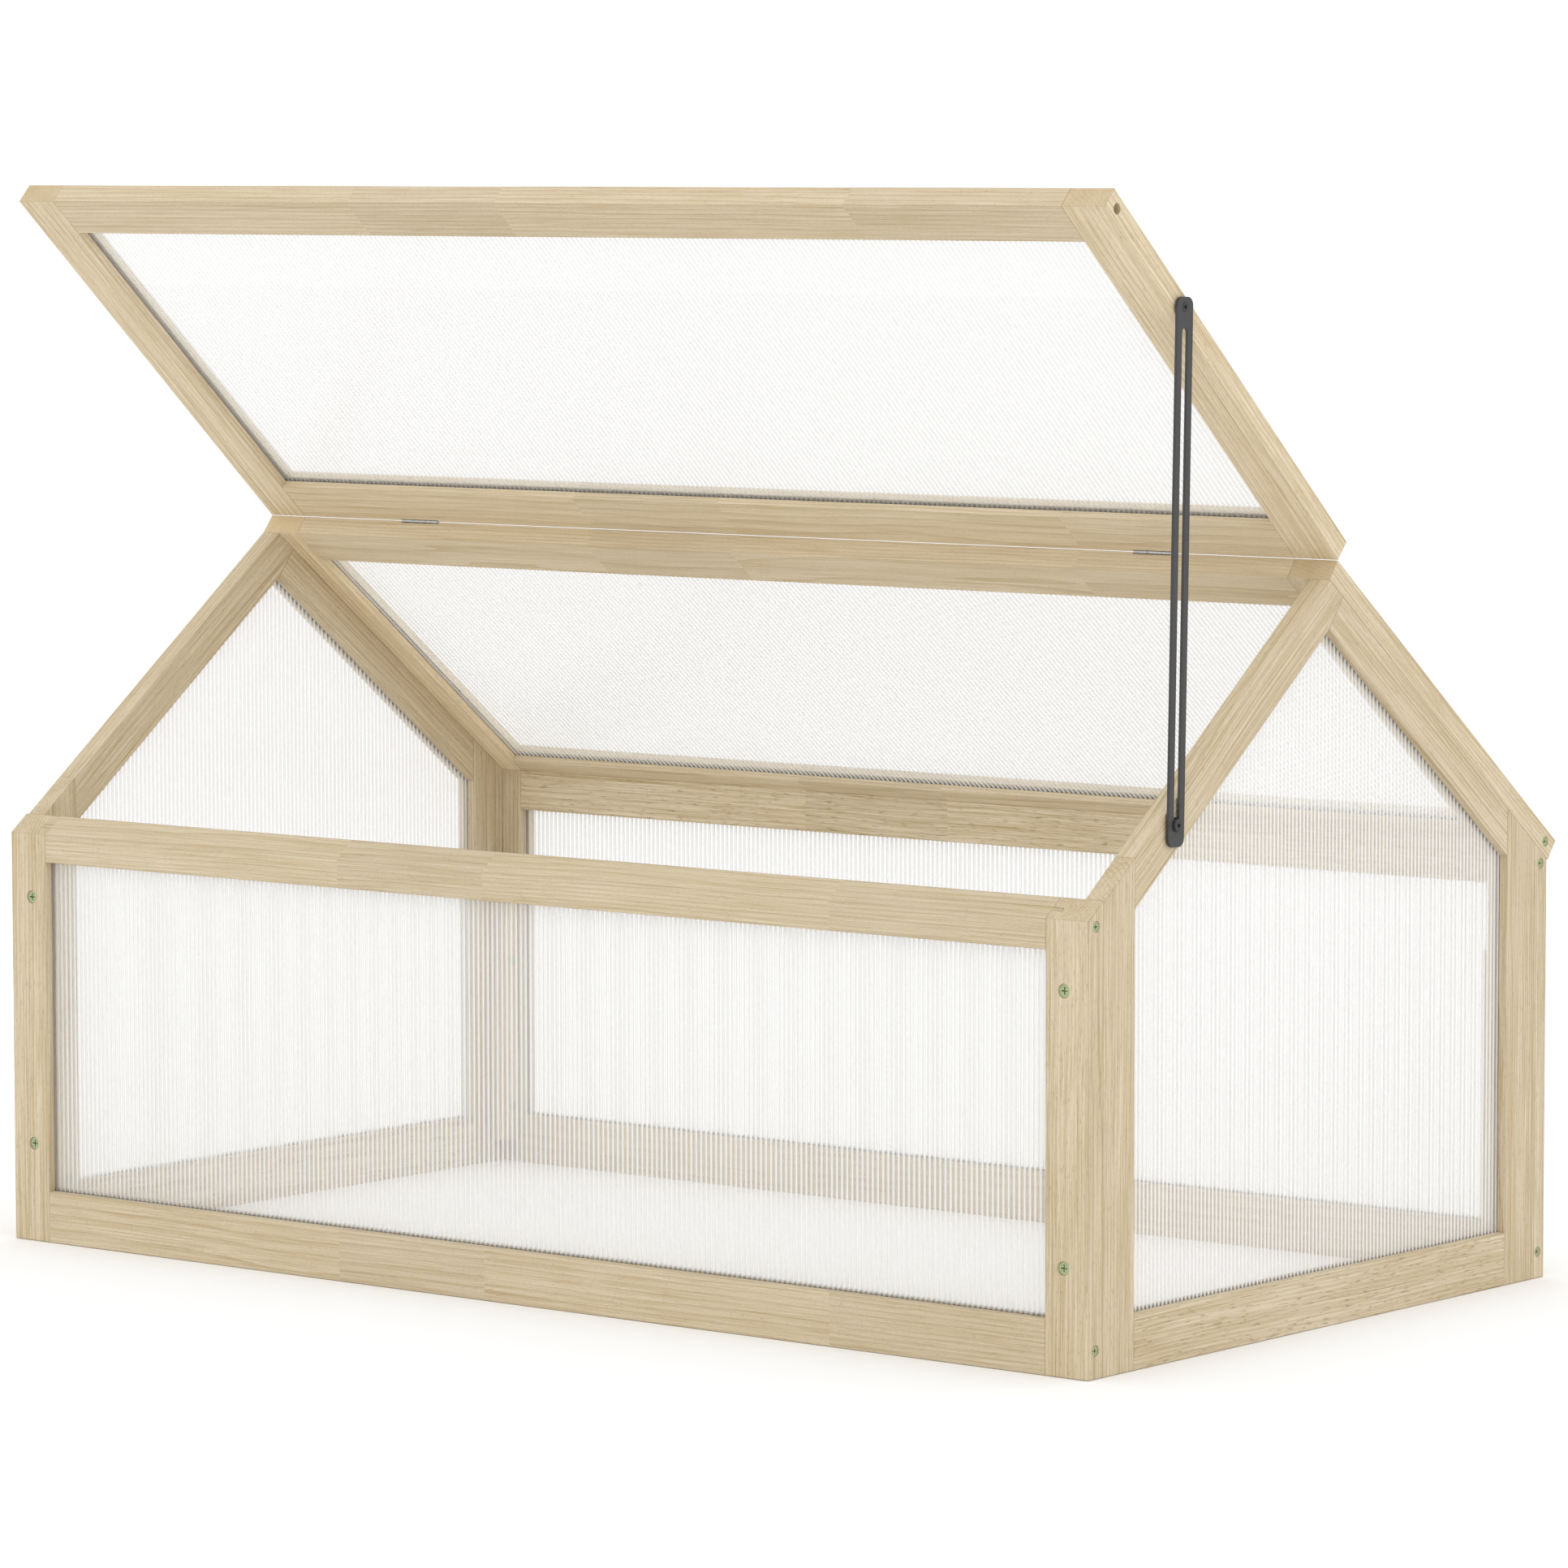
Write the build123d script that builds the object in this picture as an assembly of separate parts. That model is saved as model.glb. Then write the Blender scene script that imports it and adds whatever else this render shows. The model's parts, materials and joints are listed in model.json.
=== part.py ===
from build123d import *
from math import asin, ceil, cos, radians, sin, tan
import os

# Timber cold frame: four glazed frames stand on edge around an open base, a glazed rear roof is
# fixed on the gables, and a glazed lid hinges along the ridge. A slotted stay on the right holds
# the lid. Units are millimetres. The origin is the middle of the base, +Z is up, the front is -Y
# and +X points to the right-hand gable. The lid is drawn open.

# Overall sizes
LENGTH = 1100.0
DEPTH = 612.0
RIDGE_HEIGHT = 571.0
ROOF_SLOPE = 37.6

# Planed timber
THICK = 18.0
STILE_WIDTH = 39.0
BOTTOM_RAIL_WIDTH = 42.0
TOP_RAIL_FOOT = 314.3
RAFTER_WIDTH = 30.0
EASED_EDGE = 0.3

# Groove and tongue joints inside the frames
GROOVE_DEPTH = 10.0
TONGUE_LENGTH = 9.8
TONGUE_SETBACK = 7.0
RAFTER_TONGUE_DROP = 8.0
APEX_TONGUE_SPAN = (10.0, 23.0)

# Twin-wall polycarbonate sheet
SHEET_THICK = 4.0
SHEET_EDGE_IN_GROOVE = 8.0
FLUTE_PITCH = 4.89
SHEET_SKIN = 0.4

# Lid
LID_OPEN_SLOPE = 41.9
LID_CLOSED_SLOPE = 38.0
LID_LENGTH = 403.0
ROOF_OVERHANG = 2.0
SHUT_GAP = 0.3
HINGE_EDGE_CHAMFER = 0.12
FRONT_TOP_DROP = 0.39

# Butt hinges on the ridge
HINGE_X = 380.0
HINGE_LENGTH = 40.0
LEAF_WIDTH = 16.0
LEAF_THICK = 1.0
BARREL_RADIUS = 1.6
PIN_RADIUS = 0.75
PIN_CLEARANCE = 0.06
BARREL_CLEARANCE = 0.35
NOTCH_END_SPARE = 0.5

# Slotted stay
STAY_RADIUS = 282.5
STAY_SCREW_ANGLE = 41.0
STRAP_WIDTH = 20.0
STRAP_THICK = 2.0
STRAP_CORNER = 6.5
STRAP_TOP_END = 7.5
STRAP_FOOT_END = 13.0
SLOT_HALF_WIDTH = 3.3
SLOT_PIN_RADIUS = 3.0
SPACER_THICK = 1.2
SPACER_RADIUS = 6.0
SIDE_GAP = 0.3

# Corner battens
BATTEN_SIZE = 18.0
BATTEN_FOOT = 20.0
FRONT_BATTEN_TOP = 312.0
REAR_BATTEN_TOP = 262.0

# Wood screws
PANEL_SCREW_HEAD = 5.0
PANEL_SCREW_SHANK = 2.2
PANEL_SCREW_LENGTH = 34.0
PANEL_SCREW_INSET = 4.5
EDGE_SCREW_HEAD = 3.9
EDGE_SCREW_SHANK = 1.9
EDGE_SCREW_LENGTH = 60.0
BATTEN_SCREW_LENGTH = 30.0
ROOF_SCREW_LENGTH = 34.0
HINGE_SCREW_HEAD = 2.6
HINGE_SCREW_SHANK = 1.3
HINGE_SCREW_LENGTH = 12.0
FRONT_SCREW_HEIGHTS = (80.8, 285.0)
REAR_SCREW_HEIGHTS = (80.8, 240.0)
END_SCREW_INSET = 12.5
PANEL_SCREW_RECESS = 1.0
EDGE_SCREW_RECESS = 0.6
INNER_SCREW_RECESS = 0.4
LID_SCREW_RECESS = 5.0
HEAD_RIM = 0.4
BORE_EASE = 0.15
BORE_MOUTH = 10.0
BATTEN_SCREW_HEIGHTS = (50.0, 180.0)
ROOF_SCREW_STATIONS = (80.0, 300.0)
LEAF_SCREW_PITCH = 13.5
LEAF_SCREW_LINE = 9.5
KNUCKLE_GAP = 0.3

# Driver recess of a wood screw, in shares of its head's radius, and the depth of its star marks
CROSS_DEPTH = 0.45
CROSS_REACH = 1.15
CROSS_WIDTH = 0.24
STAR_PLACE = 0.62
STAR_RADIUS = 0.09
STAR_DEPTH = 0.5

# Stay screws
PIVOT_RADIUS = 2.5
PIVOT_HEAD = 3.6
PIVOT_THREAD_LENGTH = 22.0
POST_THREAD_LENGTH = 15.0
THREAD_RADIUS = 1.9
SLOT_HEAD_RADIUS = 4.8
SLOT_HEAD_THICK = 1.8
SLOT_HEAD_EASE = 0.4
SLOT_SPARE = 5.0
STRAP_EASE = 0.3
SOCKET_DEPTH = 1.3
SOCKET_RADIUS = 1.7

# Lines in the side view, as (y, z)
HALF_X = LENGTH / 2
HALF_Y = DEPTH / 2
SLOPE_SIN = sin(radians(ROOF_SLOPE))
SLOPE_COS = cos(radians(ROOF_SLOPE))
SLOPE_TAN = tan(radians(ROOF_SLOPE))
OPEN_SIN = sin(radians(LID_OPEN_SLOPE))
OPEN_COS = cos(radians(LID_OPEN_SLOPE))
SHUT_TAN = tan(radians(LID_CLOSED_SLOPE))
PANEL_INNER_Y = HALF_Y - THICK
POST_INNER_Y = PANEL_INNER_Y - STILE_WIDTH
HINGE_Y = THICK * SLOPE_SIN
HINGE_Z = RIDGE_HEIGHT + THICK * SLOPE_COS
ROOF_LENGTH = (HALF_Y + ROOF_OVERHANG) / SLOPE_COS
FRONT_TOP_Z = HINGE_Z - (HINGE_Y + PANEL_INNER_Y) * SHUT_TAN - FRONT_TOP_DROP
REAR_TOP_Z = RIDGE_HEIGHT - PANEL_INNER_Y * SLOPE_TAN

# The stay's two screws, as (y, z). Both are STAY_RADIUS from the hinge line, so the stay turns
# through exactly half the lid's angle. The reaches are their distances apart, open and shut.
PIVOT_ANGLE = radians(LID_OPEN_SLOPE) + asin(THICK / 2 / STAY_RADIUS)
SCREW_ANGLE = radians(STAY_SCREW_ANGLE)
LID_FALL = radians(LID_OPEN_SLOPE + LID_CLOSED_SLOPE)
PIVOT = (HINGE_Y - STAY_RADIUS * cos(PIVOT_ANGLE), HINGE_Z + STAY_RADIUS * sin(PIVOT_ANGLE))
SLOT_POST = (HINGE_Y - STAY_RADIUS * cos(SCREW_ANGLE), HINGE_Z - STAY_RADIUS * sin(SCREW_ANGLE))
OPEN_REACH = 2 * STAY_RADIUS * sin((PIVOT_ANGLE + SCREW_ANGLE) / 2)
SHUT_REACH = 2 * STAY_RADIUS * sin((PIVOT_ANGLE + SCREW_ANGLE - LID_FALL) / 2)
STRAP_INNER_X = HALF_X + SPACER_THICK + SIDE_GAP
STRAP_OUTER_X = STRAP_INNER_X + STRAP_THICK

# Each flat frame is drawn lying down: x along its length, y from its first rail to its far rail
# and z through its thickness. These planes stand the drawn frames up in their places.
FRONT_PLACE = Plane(origin=(0, -PANEL_INNER_Y, 0), x_dir=(1, 0, 0), z_dir=(0, -1, 0))
REAR_PLACE = Plane(origin=(0, PANEL_INNER_Y, 0), x_dir=(-1, 0, 0), z_dir=(0, 1, 0))
ROOF_PLACE = Plane(origin=(0, 0, RIDGE_HEIGHT), x_dir=(1, 0, 0), z_dir=(0, SLOPE_SIN, SLOPE_COS))
LID_PLACE = Plane(origin=(0, HINGE_Y, HINGE_Z), x_dir=(-1, 0, 0), z_dir=(0, OPEN_SIN, OPEN_COS))


def box(x0, x1, y0, y1, z0, z1):
    """A box between two opposite corners."""
    return Pos((x0 + x1) / 2, (y0 + y1) / 2, (z0 + z1) / 2) * Box(x1 - x0, y1 - y0, z1 - z0)


def eased(solid):
    """The same piece of timber with its sharp edges taken off."""
    return chamfer(solid.edges(), EASED_EDGE)


def side_prism(points, x0, x1):
    """A solid whose outline is drawn in the side view, running from x0 to x1."""
    side_view = Plane(origin=(x0, 0, 0), x_dir=(0, 1, 0), z_dir=(1, 0, 0))
    return extrude(side_view * make_face(Polyline(*points, close=True)), amount=x1 - x0)


def fluted_sheet(x0, x1, y0, y1):
    """Twin-wall sheet lying at mid thickness of a frame, with its flutes running along y."""
    width = x1 - x0
    count = ceil(width / FLUTE_PITCH) - 1
    start = (x0 + x1) / 2 - (count - 1) * FLUTE_PITCH / 2
    section = Plane(origin=(0, y0, THICK / 2), x_dir=(1, 0, 0), z_dir=(0, 1, 0))
    outline = Pos((x0 + x1) / 2, 0) * Rectangle(width, SHEET_THICK)
    flute = Rectangle(FLUTE_PITCH - SHEET_SKIN, SHEET_THICK - 2 * SHEET_SKIN)
    holes = [Pos(start + i * FLUTE_PITCH, 0) * flute for i in range(count)]
    profile = Face(outline.face().outer_wire(), [hole.face().outer_wire() for hole in holes])
    return extrude(section * profile, amount=y1 - y0)


def groove(x0, x1, y0, y1):
    """The slot for the sheet, cut at mid thickness of a lying frame."""
    return box(x0, x1, y0, y1, (THICK - SHEET_THICK) / 2, (THICK + SHEET_THICK) / 2)


def lying_stile(side, length):
    """Full-length side member: side is -1 or 1, the groove stops short of both ends."""
    inner = HALF_X - STILE_WIDTH
    piece = eased(box(inner, HALF_X, 0, length, 0, THICK))
    piece -= groove(inner, inner + GROOVE_DEPTH, TONGUE_SETBACK, length - TONGUE_SETBACK)
    return piece if side > 0 else mirror(piece, about=Plane.YZ)


def lying_rail(y0, y1, inner_edge):
    """Cross member between the stiles, with a tongue on each end and a groove on one edge."""
    half = HALF_X - STILE_WIDTH
    piece = eased(box(-half, half, y0, y1, 0, THICK))
    tongue_y0 = y0 + TONGUE_SETBACK
    tongue_y1 = y1 - TONGUE_SETBACK
    piece += groove(-half - TONGUE_LENGTH, half + TONGUE_LENGTH, tongue_y0, tongue_y1)
    if inner_edge > y0:
        cut = (y1 - GROOVE_DEPTH, y1)
    else:
        cut = (y0, y0 + GROOVE_DEPTH)
    return piece - groove(-HALF_X, HALF_X, *cut)


def lying_frame(length, first_width, far_width):
    """Two stiles, two rails and a sheet, all lying down and ready to be stood in place."""
    half = HALF_X - STILE_WIDTH + SHEET_EDGE_IN_GROOVE
    sheet_y0 = first_width - SHEET_EDGE_IN_GROOVE
    sheet_y1 = length - far_width + SHEET_EDGE_IN_GROOVE
    return {
        "stile_minus": lying_stile(-1, length),
        "stile_plus": lying_stile(1, length),
        "first_rail": lying_rail(0, first_width, first_width),
        "far_rail": lying_rail(length - far_width, length, 0),
        "sheet": fluted_sheet(-half, half, sheet_y0, sheet_y1),
    }


def stand_up(frame, place, names):
    """The lying pieces moved to their place, under the node names they get."""
    return {names[key]: place.location * piece for key, piece in frame.items()}


def above_shut_lid():
    """Everything higher than the bevel that the shut lid rests on."""
    gap = SHUT_GAP / cos(radians(LID_CLOSED_SLOPE))
    far_y = -DEPTH
    far_z = HINGE_Z - gap + (far_y - HINGE_Y) * SHUT_TAN
    outline = [(HINGE_Y, HINGE_Z - gap), (HINGE_Y, LENGTH), (far_y, LENGTH), (far_y, far_z)]
    return side_prism(outline, -LENGTH, LENGTH)


def above_rear_slope():
    """Everything higher than the underside of the rear roof."""
    far_z = RIDGE_HEIGHT - DEPTH * SLOPE_TAN
    outline = [(0, RIDGE_HEIGHT), (DEPTH, far_z), (DEPTH, LENGTH), (0, LENGTH)]
    return side_prism(outline, -LENGTH, LENGTH)


def front_panel():
    """Front frame: its top edge is bevelled to lie under the shut lid."""
    names = {
        "stile_minus": "front_panel_left_stile",
        "stile_plus": "front_panel_right_stile",
        "first_rail": "front_panel_bottom_rail",
        "far_rail": "front_panel_top_rail",
        "sheet": "front_panel_glazing",
    }
    frame = lying_frame(FRONT_TOP_Z, BOTTOM_RAIL_WIDTH, FRONT_TOP_Z - TOP_RAIL_FOOT)
    pieces = stand_up(frame, FRONT_PLACE, names)
    for name in pieces:
        if "glazing" not in name and "bottom" not in name:
            pieces[name] -= above_shut_lid()
    return pieces


def rear_panel():
    """Rear frame: its top edge is bevelled to the slope of the rear roof."""
    names = {
        "stile_minus": "rear_panel_right_stile",
        "stile_plus": "rear_panel_left_stile",
        "first_rail": "rear_panel_bottom_rail",
        "far_rail": "rear_panel_top_rail",
        "sheet": "rear_panel_glazing",
    }
    frame = lying_frame(REAR_TOP_Z, BOTTOM_RAIL_WIDTH, REAR_TOP_Z - TOP_RAIL_FOOT)
    pieces = stand_up(frame, REAR_PLACE, names)
    for name in pieces:
        if "glazing" not in name and "bottom" not in name:
            pieces[name] -= above_rear_slope()
    return pieces


def roof_panel():
    """Fixed rear roof: the sheet's flutes run down the slope so that water drains out."""
    names = {
        "stile_minus": "rear_roof_left_stile",
        "stile_plus": "rear_roof_right_stile",
        "first_rail": "rear_roof_ridge_rail",
        "far_rail": "rear_roof_eave_rail",
        "sheet": "rear_roof_glazing",
    }
    frame = lying_frame(ROOF_LENGTH, STILE_WIDTH, STILE_WIDTH)
    edge = side_prism(chamfer_corner(0, THICK, 1, -1), -LENGTH, LENGTH)
    for key in ("stile_minus", "stile_plus", "first_rail"):
        frame[key] -= edge
    return stand_up(frame, ROOF_PLACE, names)


def lid_panel():
    """Hinged lid, drawn open. It lies along -y of its plane, so the stiles swap sides."""
    names = {
        "stile_minus": "lid_right_stile",
        "stile_plus": "lid_left_stile",
        "first_rail": "lid_hinge_rail",
        "far_rail": "lid_free_rail",
        "sheet": "lid_glazing",
    }
    frame = lying_frame(LID_LENGTH, STILE_WIDTH, STILE_WIDTH)
    edge = side_prism(chamfer_corner(0, 0, 1, 1), -LENGTH, LENGTH)
    for key in ("stile_minus", "stile_plus", "first_rail"):
        frame[key] -= edge
    return stand_up(frame, LID_PLACE, names)


def chamfer_corner(y, z, y_step, z_step):
    """The triangle that takes a hinge-side corner off, as points of the lying side view."""
    size = HINGE_EDGE_CHAMFER
    return [(y, z), (y + y_step * size, z), (y, z + z_step * size)]


def slope_z(y, drop=0.0):
    """Height of the gable's sloping edge at y, or of a line drop millimetres inside it."""
    return RIDGE_HEIGHT - abs(y) * SLOPE_TAN - drop / SLOPE_COS


def gable_groove(points):
    """Slot for the sheet in the right-hand gable, drawn in the side view."""
    middle = HALF_X - THICK / 2
    return side_prism(points, middle - SHEET_THICK / 2, middle + SHEET_THICK / 2)


def gable_post(side):
    """Upright of the right-hand gable: side is -1 at the front and 1 at the rear."""
    inner = side * POST_INNER_Y
    outer = side * PANEL_INNER_Y
    outline = [(inner, 0), (outer, 0), (outer, slope_z(outer)), (inner, slope_z(inner))]
    post = eased(side_prism(outline, HALF_X - THICK, HALF_X))
    deep = inner + side * GROOVE_DEPTH
    foot = TONGUE_SETBACK
    slot = [(inner, foot), (deep, foot), (deep, slope_z(deep, foot)), (inner, slope_z(inner, foot))]
    return post - gable_groove(slot)


def gable_bottom_rail():
    """Bottom rail between the posts, tongued into them."""
    y1 = POST_INNER_Y
    outline = [(-y1, 0), (y1, 0), (y1, BOTTOM_RAIL_WIDTH), (-y1, BOTTOM_RAIL_WIDTH)]
    rail = eased(side_prism(outline, HALF_X - THICK, HALF_X))
    tongue_y = y1 + TONGUE_LENGTH
    tongue_top = BOTTOM_RAIL_WIDTH - TONGUE_SETBACK
    tongue = [(-tongue_y, TONGUE_SETBACK), (tongue_y, TONGUE_SETBACK)]
    tongue += [(tongue_y, tongue_top), (-tongue_y, tongue_top)]
    rail += gable_groove(tongue)
    slot_z = BOTTOM_RAIL_WIDTH - GROOVE_DEPTH
    slot = [(-DEPTH, slot_z), (DEPTH, slot_z)]
    slot += [(DEPTH, BOTTOM_RAIL_WIDTH), (-DEPTH, BOTTOM_RAIL_WIDTH)]
    return rail - gable_groove(slot)


def rafter_slot(side):
    """Slot along the lower edge of one rafter."""
    low = side * DEPTH
    deep = RAFTER_WIDTH - GROOVE_DEPTH
    line = [(0, slope_z(0, deep)), (low, slope_z(low, deep))]
    return gable_groove(line + [(low, slope_z(low, RAFTER_WIDTH)), (0, slope_z(0, RAFTER_WIDTH))])


def rafter_tongue(side):
    """Tongue on the foot of one rafter, let into the post."""
    y0 = side * POST_INNER_Y
    y1 = y0 + side * TONGUE_LENGTH
    high = RAFTER_TONGUE_DROP
    low = RAFTER_WIDTH - GROOVE_DEPTH
    outline = [(y0, slope_z(y0, high)), (y1, slope_z(y1, high))]
    outline += [(y1, slope_z(y1, low)), (y0, slope_z(y0, low))]
    return gable_groove(outline)


def apex_tongue(length):
    """Tongue on the square-cut head of the rear rafter, let into the front rafter."""
    foot_z = slope_z(0, RAFTER_WIDTH)
    low, high = APEX_TONGUE_SPAN
    points = []
    for across, along in ((low, 0), (low, length), (high, length), (high, 0)):
        y = across * SLOPE_SIN - along * SLOPE_COS
        z = foot_z + across * SLOPE_COS + along * SLOPE_SIN
        points.append((y, z))
    return gable_groove(points)


def gable_front_rafter():
    """Front rafter: it runs through to the apex and takes the head of the rear rafter."""
    foot = -POST_INNER_Y
    head = (RAFTER_WIDTH * SLOPE_SIN, slope_z(0, RAFTER_WIDTH) + RAFTER_WIDTH * SLOPE_COS)
    outline = [(foot, slope_z(foot, RAFTER_WIDTH)), (0, slope_z(0, RAFTER_WIDTH))]
    outline += [head, (0, RIDGE_HEIGHT), (foot, slope_z(foot))]
    rafter = eased(side_prism(outline, HALF_X - THICK, HALF_X))
    rafter += rafter_tongue(-1)
    return rafter - rafter_slot(-1) - rafter_slot(1) - apex_tongue(GROOVE_DEPTH)


def gable_rear_rafter():
    """Rear rafter: its head is cut square and butts against the front rafter."""
    foot = POST_INNER_Y
    head = (RAFTER_WIDTH * SLOPE_SIN, slope_z(0, RAFTER_WIDTH) + RAFTER_WIDTH * SLOPE_COS)
    outline = [(0, slope_z(0, RAFTER_WIDTH)), (foot, slope_z(foot, RAFTER_WIDTH))]
    outline += [(foot, slope_z(foot)), head]
    rafter = eased(side_prism(outline, HALF_X - THICK, HALF_X))
    rafter += rafter_tongue(1)
    return rafter - rafter_slot(1) + apex_tongue(TONGUE_LENGTH)


def gable_glazing():
    """Five-sided sheet with upright flutes, let into the gable's grooves."""
    half = POST_INNER_Y + SHEET_EDGE_IN_GROOVE
    foot = BOTTOM_RAIL_WIDTH - SHEET_EDGE_IN_GROOVE
    blank = fluted_sheet(-half, half, foot, RIDGE_HEIGHT)
    upright = Plane(origin=(HALF_X - THICK, 0, 0), x_dir=(0, 1, 0), z_dir=(1, 0, 0))
    drop = RAFTER_WIDTH - SHEET_EDGE_IN_GROOVE
    outline = [(-half, foot), (half, foot), (half, slope_z(half, drop)), (0, slope_z(0, drop))]
    outline.append((-half, slope_z(half, drop)))
    return upright.location * blank & side_prism(outline, HALF_X - THICK, HALF_X)


def gables():
    """Both gables: the right-hand one is drawn and the left-hand one mirrors it."""
    right = {
        "front_post": gable_post(-1),
        "rear_post": gable_post(1),
        "bottom_rail": gable_bottom_rail(),
        "front_rafter": gable_front_rafter(),
        "rear_rafter": gable_rear_rafter(),
        "glazing": gable_glazing(),
    }
    pieces = {}
    for name, piece in right.items():
        pieces["right_gable_" + name] = piece
        pieces["left_gable_" + name] = mirror(piece, about=Plane.YZ)
    return pieces


def corner_battens():
    """Square battens in the inner corners, which take the screws of the front and rear panels."""
    pieces = {}
    x1 = HALF_X - THICK
    for side_name, side in (("left", -1), ("right", 1)):
        xs = sorted((side * x1, side * (x1 - BATTEN_SIZE)))
        for end_name, end, top in (("front", -1, FRONT_BATTEN_TOP), ("rear", 1, REAR_BATTEN_TOP)):
            ys = sorted((end * PANEL_INNER_Y, end * (PANEL_INNER_Y - BATTEN_SIZE)))
            batten = eased(box(*xs, *ys, BATTEN_FOOT, top))
            pieces[f"{end_name}_{side_name}_corner_batten"] = batten
    return pieces


def screw_outline(head, shank, length):
    """Countersunk screw without its recess: its head faces +z at the origin."""
    neck = HEAD_RIM + head - shank
    points = [(0, 0), (head, 0), (head, -HEAD_RIM), (shank, -neck)]
    points += [(shank, -length + shank * 2), (0, -length)]
    return revolve(Plane.XZ * make_face(Polyline(*points, close=True)), Axis.Z)


def screw(head, shank, length):
    """Countersunk wood screw with a cross recess and four star marks between its arms."""
    body = screw_outline(head, shank, length)
    depth = head * CROSS_DEPTH
    arm = Pos(0, 0, -depth / 2) * Box(head * CROSS_REACH, head * CROSS_WIDTH, depth)
    star = Pos(head * STAR_PLACE, 0, 0) * Cylinder(head * STAR_RADIUS, STAR_DEPTH)
    for angle in (0, 90):
        body -= Rot(0, 0, angle) * arm
    for angle in (45, 135, 225, 315):
        body -= Rot(0, 0, angle) * star
    return body


def facing(point, direction):
    """Where a screw sits: the middle of its head and the way the head faces."""
    return Plane(origin=point, z_dir=direction).location


def panel_screws(pieces):
    """Screws through the faces of the front and rear stiles into the corner battens."""
    sizes = (PANEL_SCREW_HEAD, PANEL_SCREW_SHANK, PANEL_SCREW_LENGTH)
    x = HALF_X - THICK - PANEL_SCREW_INSET
    front = [((s * x, -HALF_Y, z), (0, -1, 0)) for s in (-1, 1) for z in FRONT_SCREW_HEIGHTS]
    rear = [((s * x, HALF_Y, z), (0, 1, 0)) for s in (-1, 1) for z in REAR_SCREW_HEIGHTS]
    for side in ("left", "right"):
        sign = -1 if side == "left" else 1
        for end, seats in (("front", front), ("rear", rear)):
            keys = [f"{end}_panel_{side}_stile", f"{end}_{side}_corner_batten"]
            mine = [seat for seat in seats if seat[0][0] * sign > 0]
            bore(pieces, keys, mine, sizes, PANEL_SCREW_RECESS)
    pieces["front_corner_screws"] = screw_group(front, sizes, PANEL_SCREW_RECESS)
    pieces["rear_corner_screws"] = screw_group(rear, sizes, PANEL_SCREW_RECESS)


def bore(pieces, keys, seats, sizes, recess):
    """Bores the named timber pieces for screws of one size, sunk by the recess."""
    head, shank, length = sizes
    tool = screw_outline(head, shank, length)
    mouth = Pos(0, 0, BORE_MOUTH / 2) * Cylinder(head + BORE_EASE, BORE_MOUTH)
    for point, direction in seats:
        sunk = facing(point, direction) * Pos(0, 0, -recess)
        for key in keys:
            pieces[key] = pieces[key] - sunk * tool - sunk * mouth


def screw_group(seats, sizes, recess):
    """Identical screws as separate solids of one node."""
    return Compound(children=[facing(*seat) * Pos(0, 0, -recess) * screw(*sizes) for seat in seats])


def edge_seats(place, heights):
    """Seats on both outer edges of a standing frame, at mid thickness."""
    seats = []
    for side in (-1, 1):
        for y in heights:
            point = place.from_local_coords(Vector(side * HALF_X, y, THICK / 2))
            seats.append((point, place.x_dir * side))
    return seats


def edge_screws(pieces):
    """Long screws through the stiles into the ends of the rails."""
    sizes = (EDGE_SCREW_HEAD, EDGE_SCREW_SHANK, EDGE_SCREW_LENGTH)
    low = BOTTOM_RAIL_WIDTH / 2
    front_high = (FRONT_TOP_Z + TOP_RAIL_FOOT) / 2
    rear_high = (REAR_TOP_Z + TOP_RAIL_FOOT) / 2
    jobs = (
        ("front_panel", FRONT_PLACE, (low, front_high), EDGE_SCREW_RECESS),
        ("rear_panel", REAR_PLACE, (low, rear_high), EDGE_SCREW_RECESS),
        ("rear_roof", ROOF_PLACE, (ROOF_LENGTH - END_SCREW_INSET,), EDGE_SCREW_RECESS),
        ("lid", LID_PLACE, (LID_LENGTH - END_SCREW_INSET,), LID_SCREW_RECESS),
    )
    for name, place, heights, recess in jobs:
        seats = edge_seats(place, heights)
        keys = [key for key in pieces if key.startswith(name + "_") and key.endswith(("stile", "rail"))]
        bore(pieces, keys, seats, sizes, recess)
        pieces[name + "_edge_screws"] = screw_group(seats, sizes, recess)


def batten_screws(pieces):
    """Screws from inside, through the battens into the gable posts."""
    sizes = (EDGE_SCREW_HEAD, EDGE_SCREW_SHANK, BATTEN_SCREW_LENGTH)
    x = HALF_X - THICK - BATTEN_SIZE
    y = PANEL_INNER_Y - BATTEN_SIZE / 2
    seats = []
    for side_name, side in (("left", -1), ("right", 1)):
        for end_name, end in (("front", -1), ("rear", 1)):
            mine = [((side * x, end * y, z), (-side, 0, 0)) for z in BATTEN_SCREW_HEIGHTS]
            keys = [f"{end_name}_{side_name}_corner_batten", f"{side_name}_gable_{end_name}_post"]
            bore(pieces, keys, mine, sizes, INNER_SCREW_RECESS)
            seats += mine
    pieces["corner_batten_screws"] = screw_group(seats, sizes, INNER_SCREW_RECESS)


def roof_screws(pieces):
    """Screws through the rear roof's stiles into the gable rafters."""
    sizes = (EDGE_SCREW_HEAD, EDGE_SCREW_SHANK, ROOF_SCREW_LENGTH)
    seats = []
    for side_name, side in (("left", -1), ("right", 1)):
        x = side * (HALF_X - THICK / 2)
        points = [ROOF_PLACE.from_local_coords(Vector(x, y, THICK)) for y in ROOF_SCREW_STATIONS]
        mine = [(point, ROOF_PLACE.z_dir) for point in points]
        keys = [f"rear_roof_{side_name}_stile", f"{side_name}_gable_rear_rafter"]
        bore(pieces, keys, mine, sizes, INNER_SCREW_RECESS)
        seats += mine
    pieces["rear_roof_fixing_screws"] = screw_group(seats, sizes, INNER_SCREW_RECESS)


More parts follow.
